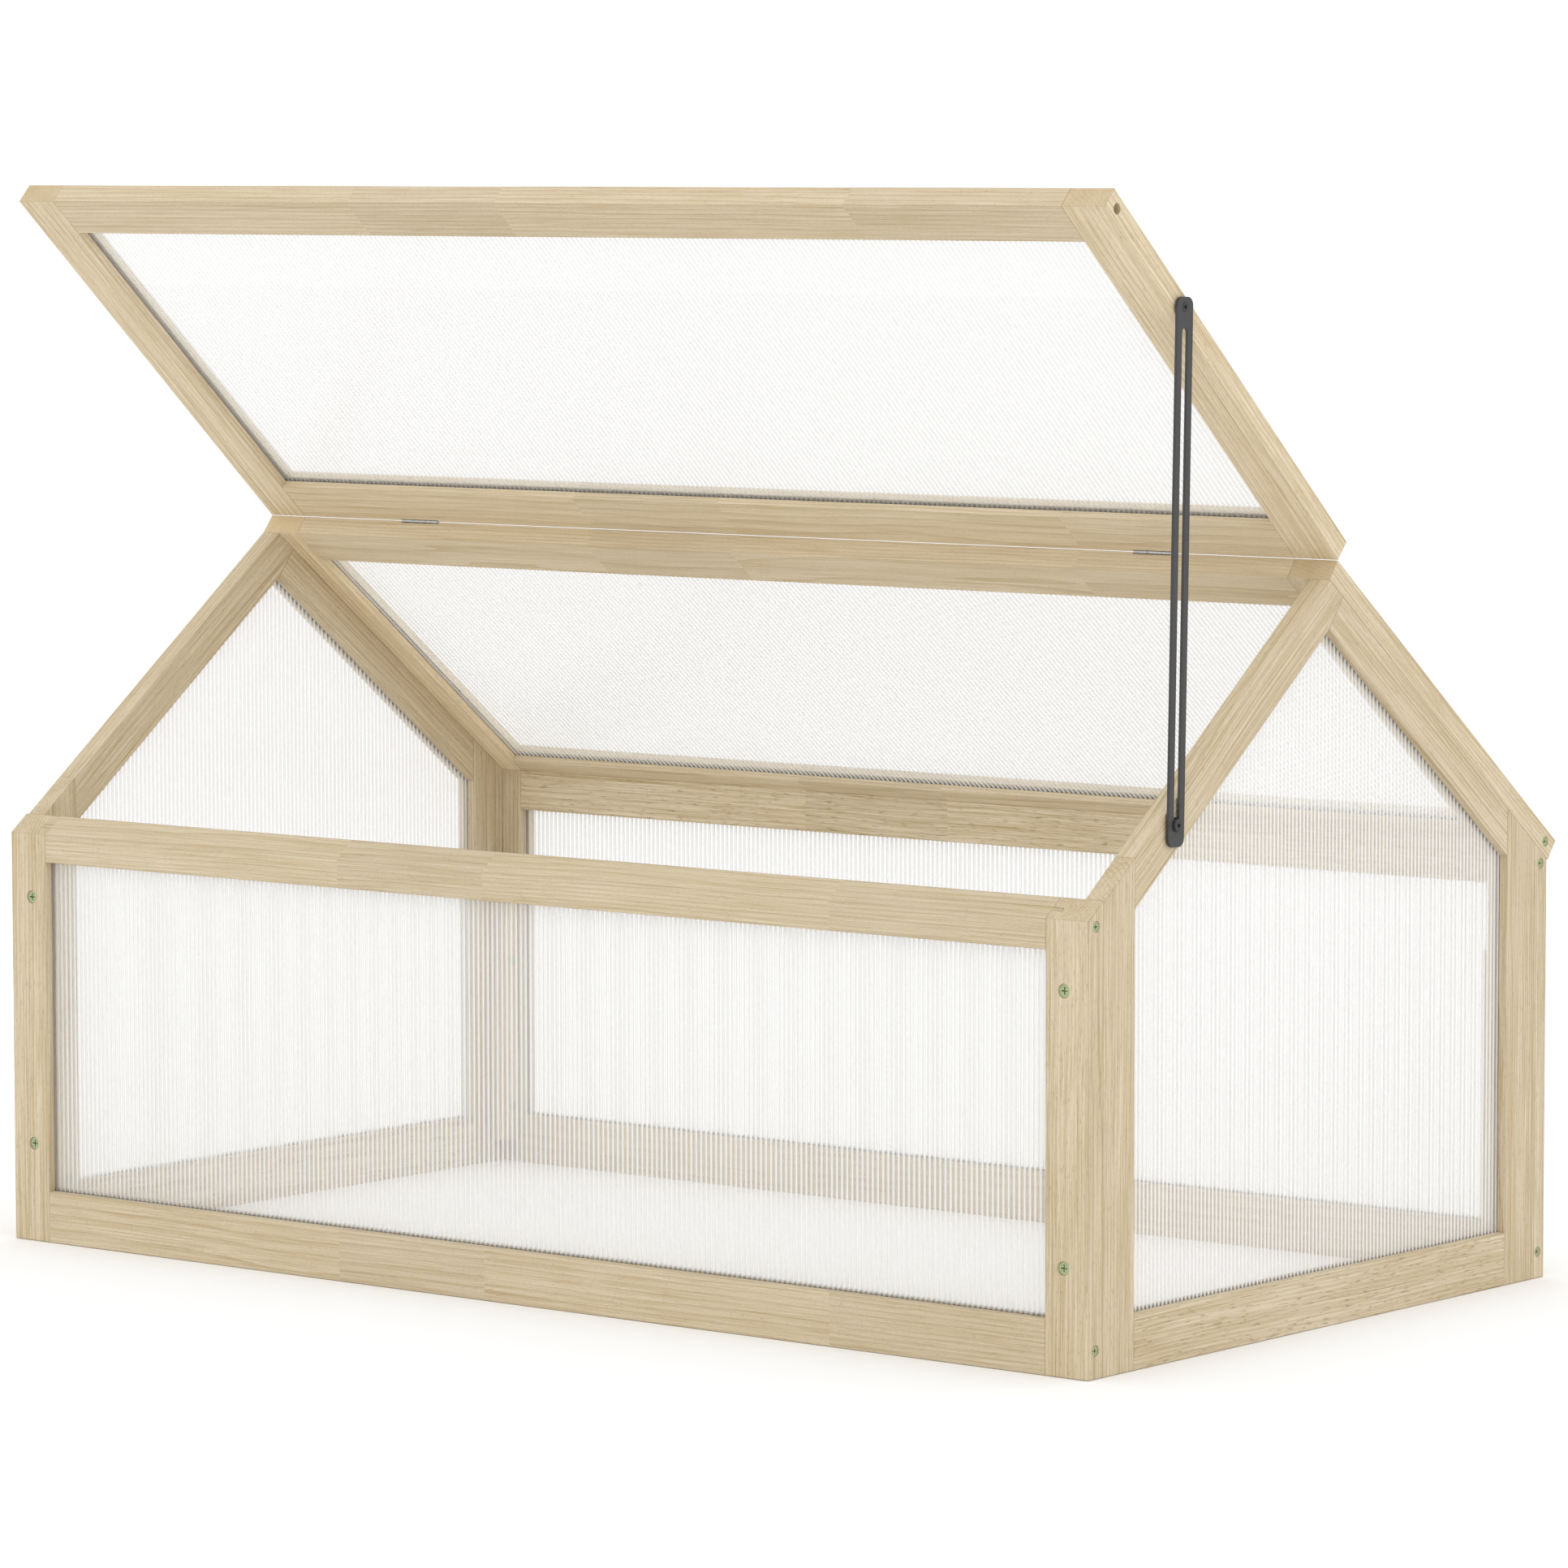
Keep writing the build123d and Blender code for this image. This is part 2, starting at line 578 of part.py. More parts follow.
def along_x(radius, x0, x1, y=0.0, z=0.0):
    """A round bar parallel to the ridge."""
    return Pos((x0 + x1) / 2, y, z) * Rot(0, 90, 0) * Cylinder(radius, x1 - x0)


def knuckle_spans(x, own):
    """Where one leaf's knuckles are: the fixed leaf has the two outer ones, the lid's the middle."""
    start = x - HINGE_LENGTH / 2
    third = HINGE_LENGTH / 3
    if own == "fixed":
        far = start + 2 * third + KNUCKLE_GAP
        return [(start, start + third - KNUCKLE_GAP), (far, start + HINGE_LENGTH)]
    return [(start + third, start + 2 * third)]


def roof_leaf(x):
    """Hinge leaf that lies on the rear roof, drawn lying down like the roof frame."""
    start = BARREL_RADIUS + BARREL_CLEARANCE
    x0 = x - HINGE_LENGTH / 2
    x1 = x + HINGE_LENGTH / 2
    leaf = box(x0, x1, start, LEAF_WIDTH, THICK, THICK + LEAF_THICK)
    for a, b in knuckle_spans(x, "fixed"):
        leaf += box(a, b, 0, start, THICK, THICK + LEAF_THICK)
        leaf += along_x(BARREL_RADIUS, a, b, 0, THICK)
    return leaf - along_x(PIN_RADIUS, x0, x1, 0, THICK)


def lid_leaf(x):
    """Hinge leaf on the lid's end face, drawn lying down like the lid frame."""
    start = BARREL_RADIUS + BARREL_CLEARANCE
    x0 = x - HINGE_LENGTH / 2
    x1 = x + HINGE_LENGTH / 2
    leaf = box(x0, x1, -LEAF_THICK, 0, start, LEAF_WIDTH)
    for a, b in knuckle_spans(x, "lid"):
        leaf += box(a, b, -LEAF_THICK, 0, 0, start)
        leaf += along_x(BARREL_RADIUS, a, b)
    return leaf - along_x(PIN_RADIUS + PIN_CLEARANCE, x0, x1)


def hinges(pieces):
    """Two butt hinges whose pins lie on the line where the lid meets the rear roof."""
    sizes = (HINGE_SCREW_HEAD, HINGE_SCREW_SHANK, HINGE_SCREW_LENGTH)
    roof_seats = []
    lid_seats = []
    for side_name, side in (("left", -1), ("right", 1)):
        x = side * HINGE_X
        x0 = x - HINGE_LENGTH / 2
        x1 = x + HINGE_LENGTH / 2
        roof_key = f"{side_name}_hinge_roof_leaf"
        lid_key = f"{side_name}_hinge_lid_leaf"
        pieces[roof_key] = ROOF_PLACE.location * roof_leaf(x)
        pieces[lid_key] = LID_PLACE.location * lid_leaf(-x)
        pieces[f"{side_name}_hinge_pin"] = along_x(PIN_RADIUS, x0, x1, HINGE_Y, HINGE_Z)
        notch_radius = BARREL_RADIUS + BARREL_CLEARANCE
        notch_ends = (x0 - NOTCH_END_SPARE, x1 + NOTCH_END_SPARE)
        notch = along_x(notch_radius, *notch_ends, HINGE_Y, HINGE_Z)
        pieces["rear_roof_ridge_rail"] -= notch
        pieces["lid_hinge_rail"] -= notch
        on_roof = []
        on_lid = []
        for step in (-1, 0, 1):
            seat_x = x + step * LEAF_SCREW_PITCH
            point = ROOF_PLACE.from_local_coords(Vector(seat_x, LEAF_SCREW_LINE, THICK + LEAF_THICK))
            on_roof.append((point, ROOF_PLACE.z_dir))
            point = LID_PLACE.from_local_coords(Vector(-seat_x, -LEAF_THICK, LEAF_SCREW_LINE))
            on_lid.append((point, LID_PLACE.y_dir * -1))
        bore(pieces, [roof_key, "rear_roof_ridge_rail"], on_roof, sizes, 0.0)
        bore(pieces, [lid_key, "lid_hinge_rail"], on_lid, sizes, 0.0)
        roof_seats += on_roof
        lid_seats += on_lid
    pieces["hinge_roof_screws"] = screw_group(roof_seats, sizes, 0.0)
    pieces["hinge_lid_screws"] = screw_group(lid_seats, sizes, 0.0)


def turned(points, y, z):
    """A part turned about a line parallel to the ridge, from (x, radius) points."""
    profile = Plane.XZ * make_face(Polyline(*points, close=True))
    return Pos(0, y, z) * revolve(profile, Axis.X)


def stay_strap():
    """Flat strap with a long slot, hanging from its pivot towards the slot screw."""
    heading = Vector(0, SLOT_POST[0] - PIVOT[0], SLOT_POST[1] - PIVOT[1])
    flat = Plane(origin=(STRAP_INNER_X, *PIVOT), x_dir=heading, z_dir=(1, 0, 0))
    foot = OPEN_REACH + SLOT_HALF_WIDTH + STRAP_FOOT_END
    length = foot + STRAP_TOP_END
    outline = Pos(foot - length / 2, 0) * RectangleRounded(length, STRAP_WIDTH, STRAP_CORNER)
    slot_start = SHUT_REACH - SLOT_SPARE
    slot = SlotCenterToCenter(OPEN_REACH - slot_start, 2 * SLOT_HALF_WIDTH)
    outline -= Pos((slot_start + OPEN_REACH) / 2, 0) * slot
    strap = extrude(flat * outline, amount=STRAP_THICK)
    ease = PIN_CLEARANCE * 2
    neck = STRAP_OUTER_X - PIVOT_HEAD + PIVOT_RADIUS
    hole = [(HALF_X, 0), (HALF_X, PIVOT_RADIUS + PIN_CLEARANCE), (neck - ease, PIVOT_RADIUS + PIN_CLEARANCE)]
    hole += [(STRAP_OUTER_X + 1, PIVOT_HEAD + 1 + ease), (STRAP_OUTER_X + 1, 0)]
    strap -= turned(hole, *PIVOT)
    return chamfer(strap.edges().group_by(Axis.X)[-1], STRAP_EASE)


def thread(length):
    """The threaded end of a stay screw, inside the timber, as (x, radius) points."""
    return [(HALF_X - length, 0), (HALF_X - length, THREAD_RADIUS), (HALF_X, THREAD_RADIUS)]


def pivot_screw():
    """Shoulder screw with a countersunk head, flush with the strap."""
    neck = STRAP_OUTER_X - PIVOT_HEAD + PIVOT_RADIUS
    shoulder = [(HALF_X, PIVOT_RADIUS), (neck, PIVOT_RADIUS)]
    shoulder += [(STRAP_OUTER_X, PIVOT_HEAD), (STRAP_OUTER_X, 0)]
    screw_body = turned(thread(PIVOT_THREAD_LENGTH) + shoulder, *PIVOT)
    return screw_body - driver_socket(STRAP_OUTER_X, *PIVOT)


def slot_screw():
    """Shoulder screw whose flat head keeps the strap on."""
    neck = STRAP_OUTER_X + SIDE_GAP
    head = neck + SLOT_HEAD_THICK
    ease = SLOT_HEAD_THICK * SLOT_HEAD_EASE
    shoulder = [(HALF_X, SLOT_PIN_RADIUS), (neck, SLOT_PIN_RADIUS), (neck, SLOT_HEAD_RADIUS)]
    shoulder += [(head - ease, SLOT_HEAD_RADIUS), (head, SLOT_HEAD_RADIUS - ease), (head, 0)]
    screw_body = turned(thread(POST_THREAD_LENGTH) + shoulder, *SLOT_POST)
    return screw_body - driver_socket(head, *SLOT_POST)


def spacer(radius, place):
    """Washer between the timber and the strap, for a screw of the given radius."""
    far_x = HALF_X + SPACER_THICK
    ring = [(HALF_X, 0), (HALF_X, SPACER_RADIUS), (far_x, SPACER_RADIUS), (far_x, 0)]
    return turned(ring, *place) - along_x(radius, HALF_X, far_x, *place)


def stay(pieces):
    """Slotted stay: it pivots on the lid's right edge and slides on a screw in the front rafter.

    The screw meets the foot of the slot when the lid is fully open.
    """
    pieces["stay_strap"] = stay_strap()
    pieces["stay_pivot_screw"] = pivot_screw()
    pieces["stay_slot_screw"] = slot_screw()
    pieces["stay_pivot_spacer"] = spacer(PIVOT_RADIUS, PIVOT)
    pieces["stay_slot_spacer"] = spacer(SLOT_PIN_RADIUS, SLOT_POST)
    pieces["lid_right_stile"] -= turned(thread(PIVOT_THREAD_LENGTH) + [(HALF_X, 0)], *PIVOT)
    post_bore = turned(thread(POST_THREAD_LENGTH) + [(HALF_X, 0)], *SLOT_POST)
    pieces["right_gable_front_rafter"] -= post_bore


def driver_socket(x, y, z):
    """Hexagon socket sunk into a screw head that faces +x."""
    face = Plane(origin=(x - SOCKET_DEPTH, y, z), z_dir=(1, 0, 0)) * RegularPolygon(SOCKET_RADIUS, 6)
    return extrude(face, amount=SOCKET_DEPTH + 1)


def cold_frame():
    """Every separate piece, by node name."""
    pieces = {}
    pieces.update(front_panel())
    pieces.update(rear_panel())
    pieces.update(gables())
    pieces.update(roof_panel())
    pieces.update(lid_panel())
    pieces.update(corner_battens())
    panel_screws(pieces)
    edge_screws(pieces)
    batten_screws(pieces)
    roof_screws(pieces)
    hinges(pieces)
    stay(pieces)
    return pieces


os.makedirs("parts", exist_ok=True)
for node, piece in cold_frame().items():
    export_step(piece, f"parts/{node}.step")
    print(node, len(piece.solids()), "solids")
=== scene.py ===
# %% [markdown]
# # A timber cold frame
# The object is a low garden frame: four glazed timber frames stand on edge around an open base, a glazed
# rear roof is fixed on the gables and a glazed lid hinges along the ridge, held open by a slotted strap.
# Every board, sheet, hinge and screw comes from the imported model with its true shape, and the twin-wall
# sheets hold their real flutes. This lesson gives each of those parts its finish, one board at a time, and
# then sets up the floor, the light and the camera.

import json
from math import ceil, cos, radians, sin

import bpy
from mathutils import Matrix, Vector


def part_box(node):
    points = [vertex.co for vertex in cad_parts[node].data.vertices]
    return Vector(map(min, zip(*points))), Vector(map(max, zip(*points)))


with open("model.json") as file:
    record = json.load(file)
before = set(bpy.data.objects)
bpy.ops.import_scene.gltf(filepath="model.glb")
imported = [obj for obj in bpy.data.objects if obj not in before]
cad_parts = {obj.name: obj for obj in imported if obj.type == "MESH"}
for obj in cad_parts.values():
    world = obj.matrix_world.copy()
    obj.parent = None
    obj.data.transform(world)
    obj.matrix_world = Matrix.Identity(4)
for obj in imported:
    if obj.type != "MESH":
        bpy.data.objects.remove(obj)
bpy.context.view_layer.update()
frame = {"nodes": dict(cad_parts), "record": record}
nodes = frame["nodes"]
MM = 0.001
print("parts loaded:", len(nodes))

# %% [markdown]
# ## Colours and nodes
# Finishes are written as sRGB hex colours, as in a paint chart, but the renderer works with light, so one
# function turns them to linear values. A second small function adds a shader node: first the settings of
# its sockets, each a value or another node's output, and then the options of the node itself.

# %% Helpers for every finish
def colour(hex_code):
    """Linear RGBA of an sRGB hex colour."""
    levels = [int(hex_code[i:i + 2], 16) / 255 for i in (0, 2, 4)]
    linear = [c / 12.92 if c <= 0.04045 else ((c + 0.055) / 1.055) ** 2.4 for c in levels]
    return (*linear, 1.0)


def add(tree, kind, sockets=None, **options):
    """Adds a shader node with its options set and its sockets filled or linked."""
    node = tree.nodes.new("ShaderNode" + kind)
    for option, value in options.items():
        setattr(node, option, value)
    for socket, value in (sockets or {}).items():
        if isinstance(value, bpy.types.NodeSocket):
            tree.links.new(value, node.inputs[socket])
        else:
            node.inputs[socket].default_value = value
    return node


def new_finish(name):
    """An empty material and its node tree."""
    finish = bpy.data.materials.new(name)
    finish.use_nodes = True
    finish.node_tree.nodes.clear()
    return finish, finish.node_tree


def rounded_edges(tree, radius, sharp, sharpest, most):
    """A normal that rounds the edges, and a mask of them, up to most where the rounding is strongest."""
    rounded = add(tree, "Bevel", {"Radius": radius}, samples=4).outputs[0]
    surface = add(tree, "NewGeometry").outputs["Normal"]
    flat = add(tree, "VectorMath", {0: rounded, 1: surface}, operation="DOT_PRODUCT").outputs["Value"]
    sockets = {"Value": flat, "From Min": sharp, "From Max": sharpest, "To Max": most}
    return rounded, add(tree, "MapRange", sockets).outputs[0]


def give(node_name, finish):
    """Puts a finish on every slot of a part."""
    slots = nodes[node_name].material_slots
    for slot in slots:
        slot.material = finish
    return len(slots)


print("linear value of mid grey:", round(colour("808080")[0], 3))

# %% [markdown]
# ## The timber
# The boards are planed fir, unpainted: pale cream wood with fine streaks along the grain, faint growth
# rings and small dark pores. A flat picture of wood would break at every edge, so the finish is solid: it
# is worked out from the place inside the board, and a board's end shows its rings as a sawn end does. The
# log lies along X, so a Mapping node first turns each board's grain to X and moves the board to its own
# part of the log.

# %% Which way the grain runs
ROOF_SLOPE = radians(37.6)
LID_SLOPE = radians(41.9)
LENGTHWAYS = Vector((1, 0, 0))
DEPTHWAYS = Vector((0, 1, 0))
UPRIGHT = Vector((0, 0, 1))
FRONT_RISE = Vector((0, cos(ROOF_SLOPE), sin(ROOF_SLOPE)))
REAR_FALL = Vector((0, cos(ROOF_SLOPE), -sin(ROOF_SLOPE)))
LID_RISE = Vector((0, -cos(LID_SLOPE), sin(LID_SLOPE)))


def grain_of(name):
    """Direction of the grain in a board, from the board's name."""
    if "gable_bottom" in name:
        return DEPTHWAYS
    if "front_rafter" in name:
        return FRONT_RISE
    if "rear_rafter" in name or name.startswith("rear_roof") and "stile" in name:
        return REAR_FALL
    if name.startswith("lid") and "stile" in name:
        return LID_RISE
    if "stile" in name or "post" in name or "batten" in name:
        return UPRIGHT
    return LENGTHWAYS


boards = sorted(s["node"] for s in frame["record"]["subparts"] if s["material_slot"] == "timber")
print("boards:", len(boards))

# %% [markdown]
# The long rails are finger-jointed from shorter staves, so their tone and figure step at the joints. Each
# joint is given as a place along X and the step in lightness there. The rear top rail and the gables' low
# rails are cut across the rings, where the pores are larger and darker, and the other boards are finer.

# %% Staves and pores
STAVE_JOINTS = ((-0.188, -0.055), (-0.035, 0.045), (0.309, -0.035))
STAVE_SHIFT = (0.61, 0.043, 0.027)
FINE, PLAIN, BOLD = 0.6, 1.0, 2.1


def pores_of(name):
    """Size of the pores in a board, against the usual."""
    if name == "rear_panel_top_rail" or "gable_bottom" in name:
        return BOLD
    return FINE if grain_of(name) == LENGTHWAYS else PLAIN


# %% [markdown]
# The boards of the lid and the rear roof get a lighter finish than the rest. This is painted light: it lifts
# the faces they turn to the ground, which would otherwise come out too dark in shade.

# %% Painted light: lightening of the shaded boards
SHADE_LIFTED_BOARDS = {"rear_roof_left_stile": 1.3, "rear_roof_right_stile": 1.05, "rear_roof": 1.1, "lid": 1.12,
               "rear_panel_top_rail": 1.08, "lid_free_rail": 1.04}


def painted_lift_of(name):
    """Painted lightening of a board against the usual, from the longest entry that its name starts with."""
    fitting = [start for start in SHADE_LIFTED_BOARDS if name.startswith(start)]
    return SHADE_LIFTED_BOARDS[max(fitting, key=len)] if fitting else 1.0


print("palest boards:", [b for b in boards if painted_lift_of(b) > 1.2])
print("boards with bold pores:", [b for b in boards if pores_of(b) == BOLD])

# %% [markdown]
# The streaks, fibres and pores are noise drawn out along the grain. Their widths are real ones, from half
# a millimetre to 14, and the finest are drawn a little wider than in life so that they still show. The
# growth rings are the distance from the heart of the log, a few centimetres outside the board.

# %% The planed fir finish
SPRINGWOOD = colour("D6C8AD")
LATEWOOD = colour("AD966C")
PORE = colour("857049")
END_GRAIN = colour("AE9973")
# Darker edge colour: partly wear of handled edges, partly painted shade for the dark lines where boards meet
EDGE_WEAR_AND_SHADE = colour("A38F6A")
RING_WIDTH = 3.4 * MM
HEART = (0, 0.052, 0.037)
SWAY = (0, 0.006, 0.006)

# Marks in the wood: size along the grain and across it in millimetres, and detail
UNEVEN_RINGS = (300, 12, 1.0)
STREAKS = (150, 1.4, 4.0)
FIBRES = (55, 0.7, 2.0)
BROAD_BANDS = (260, 14, 1.0)
PORE_LENGTH, PORE_WIDTH = 5.5, 0.75

# How strongly each mark darkens the wood
RING_WEIGHT = 0.35
STREAK_WEIGHT, FIBRE_WEIGHT, BAND_WEIGHT = 1.2, 1.3, 0.6
PALEST_SHADE = -1.22
CALM, LIVELY = 0.75, 1.25


def drawn_out(tree, place, along, across, detail):
    """Noise stretched along the grain; along and across are the sizes of its marks in millimetres."""
    scale = (1 / (along * MM), 1 / (across * MM), 1 / (across * MM))
    stretched = add(tree, "VectorMath", {0: place, 1: scale}, operation="MULTIPLY")
    sockets = {"Vector": stretched.outputs[0], "Scale": 1.0, "Detail": detail, "Roughness": 0.6}
    return add(tree, "TexNoise", sockets).outputs["Fac"]


def staves(tree, spot, in_log, tone):
    """Steps the tone, and moves to another part of the log, at each joint of a long rail."""
    x = add(tree, "SeparateXYZ", {0: spot}).outputs["X"]
    for joint, step in STAVE_JOINTS:
        past = add(tree, "Math", {0: x, 1: joint}, operation="GREATER_THAN").outputs[0]
        moved = add(tree, "VectorMath", {0: STAVE_SHIFT, "Scale": past}, operation="SCALE")
        in_log = add(tree, "VectorMath", {0: in_log, 1: moved.outputs[0]}, operation="ADD").outputs[0]
        tone = add(tree, "Math", {0: past, 1: step, 2: tone}, operation="MULTIPLY_ADD").outputs[0]
    return tone, in_log


def growth_rings(tree, place):
    """Thin dark lines of latewood, each ring darkening outwards and ending sharply."""
    across = add(tree, "VectorMath", {0: place, 1: (0, 1, 1), 2: HEART}, operation="MULTIPLY_ADD")
    radius = add(tree, "VectorMath", {0: across.outputs[0]}, operation="LENGTH").outputs["Value"]
    uneven = drawn_out(tree, place, *UNEVEN_RINGS)
    counted = add(tree, "Math", {0: radius, 1: 1 / RING_WIDTH, 2: uneven}, operation="MULTIPLY_ADD")
    ring = add(tree, "Math", {0: counted.outputs[0]}, operation="FRACT")
    return add(tree, "Math", {0: ring.outputs[0], 1: 3.0}, operation="POWER").outputs[0]


def planed_fir(name, grain, number, pore_size):
    """Solid planed fir for one board."""
    finish, tree = new_finish("planed_fir_" + name)
    spot = add(tree, "TexCoord")
    turn = grain.rotation_difference(LENGTHWAYS).to_euler()
    own_part = (number * 0.37, number * 0.019, number * 0.013)
    turned = add(tree, "Mapping", {"Vector": spot.outputs["Object"], "Rotation": turn, "Location": own_part})
    in_log = turned.outputs[0]
    # Painted light: the board's lightening for its shaded faces; the staves then add their real steps of
    # tone
    tone = painted_lift_of(name)
    if grain == LENGTHWAYS:
        tone, in_log = staves(tree, spot.outputs["Object"], in_log, tone)

    sway = add(tree, "TexNoise", {"Vector": in_log, "Scale": 4.0, "Detail": 1.0})
    swayed = add(tree, "VectorMath", {0: sway.outputs["Color"], 1: SWAY, 2: in_log},
                 operation="MULTIPLY_ADD").outputs[0]
    rings = growth_rings(tree, swayed)
    streaks = drawn_out(tree, swayed, *STREAKS)
    fibres = drawn_out(tree, swayed, *FIBRES)
    bands = drawn_out(tree, swayed, *BROAD_BANDS)
    pores = drawn_out(tree, swayed, PORE_LENGTH * pore_size, PORE_WIDTH * pore_size, 1.0)
    pore_marks = add(tree, "MapRange", {"Value": pores, "From Min": 0.58, "From Max": 0.74}).outputs[0]

    contrast = CALM if pore_size == FINE else LIVELY
    half_weights = (STREAK_WEIGHT + FIBRE_WEIGHT + BAND_WEIGHT) / 2
    start = PALEST_SHADE - (contrast - 1) * half_weights
    shade = add(tree, "Math", {0: rings, 1: RING_WEIGHT, 2: start}, operation="MULTIPLY_ADD").outputs[0]
    for part, weight in ((streaks, STREAK_WEIGHT), (fibres, FIBRE_WEIGHT), (bands, BAND_WEIGHT)):
        shade = add(tree, "Math", {0: part, 1: weight * contrast, 2: shade},
                    operation="MULTIPLY_ADD").outputs[0]
    wood = add(tree, "Mix", {0: shade, 6: SPRINGWOOD, 7: LATEWOOD}, data_type="RGBA").outputs[2]
    marked = add(tree, "Math", {0: pore_marks, 1: 0.28 + 0.12 * pore_size}, operation="MULTIPLY")
    wood = add(tree, "Mix", {0: marked.outputs[0], 6: wood, 7: PORE}, data_type="RGBA").outputs[2]

    facing = add(tree, "VectorMath", {0: spot.outputs["Normal"], 1: grain}, operation="DOT_PRODUCT")
    squared = add(tree, "Math", {0: facing.outputs["Value"], 1: 2.0}, operation="POWER")
    sawn_end = add(tree, "MapRange", {"Value": squared.outputs[0], "From Min": 0.5, "From Max": 0.9,
                                      "To Max": 0.55}).outputs[0]
    wood = add(tree, "Mix", {0: sawn_end, 6: wood, 7: END_GRAIN}, data_type="RGBA").outputs[2]

    # Edges darkened: partly wear, partly painted shade that draws dark outlines where the boards meet
    rounded, edge = rounded_edges(tree, 1.1 * MM, 0.99, 0.85, 0.5)
    wood = add(tree, "Mix", {0: edge, 6: wood, 7: EDGE_WEAR_AND_SHADE}, data_type="RGBA").outputs[2]
    toned = add(tree, "VectorMath", {0: wood, "Scale": tone}, operation="SCALE").outputs[0]

    relief = add(tree, "Math", {0: pore_marks, 1: -1.0, 2: streaks}, operation="MULTIPLY_ADD").outputs[0]
    bumped = add(tree, "Bump", {"Height": relief, "Normal": rounded, "Strength": 0.35,
                                "Distance": 0.25 * MM}).outputs[0]
    dull = add(tree, "MapRange", {"Value": streaks, "To Min": 0.5, "To Max": 0.68}).outputs[0]
    body = add(tree, "BsdfPrincipled", {"Base Color": toned, "Roughness": dull, "Normal": bumped,
                                        "IOR": 1.45})
    add(tree, "OutputMaterial", {"Surface": body.outputs[0]})
    return finish


for number, board in enumerate(boards):
    give(board, planed_fir(board, grain_of(board), number, pores_of(board)))
print("fir finishes:", len(boards))

# %% [markdown]
# ## The twin-wall sheets
# The glazing is extruded polycarbonate: two clear skins joined by thin ribs about five millimetres apart.
# Skins and ribs let most of the light straight through with a faint milky haze. The flutes are real
# geometry here, and the finish tells skins from ribs by the direction that a surface faces. Clear surfaces
# are Alpha on one plain shader, which stays correct after export.

# %% The way each sheet faces, the way across its flutes, and its dark rims
SHEETS = {
    "front_panel_glazing": (DEPTHWAYS, LENGTHWAYS),
    "rear_panel_glazing": (DEPTHWAYS, LENGTHWAYS),
    "left_gable_glazing": (LENGTHWAYS, DEPTHWAYS),
    "right_gable_glazing": (LENGTHWAYS, DEPTHWAYS),
    "rear_roof_glazing": (REAR_FALL.cross(LENGTHWAYS), LENGTHWAYS),
    "lid_glazing": (LID_RISE.cross(LENGTHWAYS), LENGTHWAYS),
}
EDGE_IN_GROOVE = 8 * MM
RAFTER_WIDTH = 30 * MM
RIDGE = 571 * MM


def lower_rims(name):
    """Planes, each a normal and an offset, where the sheet's flutes go into a rail below it."""
    low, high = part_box(name)
    if name == "rear_roof_glazing":
        far = Vector((0, high.y, low.z))
        return [(-REAR_FALL, -REAR_FALL.dot(far) + EDGE_IN_GROOVE)]
    if name == "lid_glazing":
        return [(LID_RISE, LID_RISE.dot(Vector((0, high.y, low.z))) + EDGE_IN_GROOVE)]
    rims = [(UPRIGHT, low.z + EDGE_IN_GROOVE)]
    if "gable" in name:
        for rise in (FRONT_RISE, REAR_FALL):
            inward = rise.cross(LENGTHWAYS)
            inward = -inward if inward.z > 0 else inward
            rims.append((inward, inward.dot(Vector((0, 0, RIDGE))) + RAFTER_WIDTH))
    return rims


for sheet in SHEETS:
    print(sheet, "rims:", [round(offset, 3) for normal, offset in lower_rims(sheet)])

# %% [markdown]
# Where a rib joins a skin, the sheet shows a whiter line, and these lines break the view through it into
# stripes. They go on one skin only, because at a slant the lines of two skins would fill each other's gaps.
# The distance from the nearest rib comes from the place across the sheet, folded back at each flute.

# %% The twin-wall polycarbonate finish
HAZE = colour("F1F1F1")
RIB = colour("F7F7F6")
FLUTE_SHADOW = colour("6B645A")
SKIN_ALPHA = 0.08
RIB_ALPHA = 0.08
WELD_ALPHA = 0.62
FLUTE_PITCH = 4.89 * MM
WELD_WIDTH = 2.0 * MM
RIM_DEPTH = 3.5 * MM
DARK_RIM_ALPHA = 0.5


def weld_lines(tree, place, name, face, across):
    """1 on the lines where the ribs of a sheet join one of its skins, fading to 0 beside them."""
    low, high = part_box(name)
    width = abs((high - low).dot(across))
    flutes = ceil(width / FLUTE_PITCH) - 1
    first_rib = (high + low).dot(across) / 2 - flutes * FLUTE_PITCH / 2
    along = add(tree, "VectorMath", {0: place, 1: across}, operation="DOT_PRODUCT").outputs["Value"]
    measured = add(tree, "Math", {0: along, 1: first_rib - FLUTE_PITCH / 2}, operation="SUBTRACT").outputs[0]
    folded = add(tree, "Math", {0: measured, 1: FLUTE_PITCH}, operation="FLOORED_MODULO").outputs[0]
    centred = add(tree, "Math", {0: folded, 1: FLUTE_PITCH / 2}, operation="SUBTRACT").outputs[0]
    away = add(tree, "Math", {0: centred}, operation="ABSOLUTE").outputs[0]
    sockets = {"Value": away, "From Min": WELD_WIDTH * 0.65, "From Max": WELD_WIDTH * 0.35}
    line = add(tree, "MapRange", sockets).outputs[0]

    depths = [face.dot(vertex.co) for vertex in nodes[name].data.vertices]
    middle = (min(depths) + max(depths)) / 2
    depth = add(tree, "VectorMath", {0: place, 1: face}, operation="DOT_PRODUCT").outputs["Value"]
    near_skin = add(tree, "Math", {0: depth, 1: middle}, operation="GREATER_THAN").outputs[0]
    return add(tree, "Math", {0: line, 1: near_skin}, operation="MULTIPLY").outputs[0]


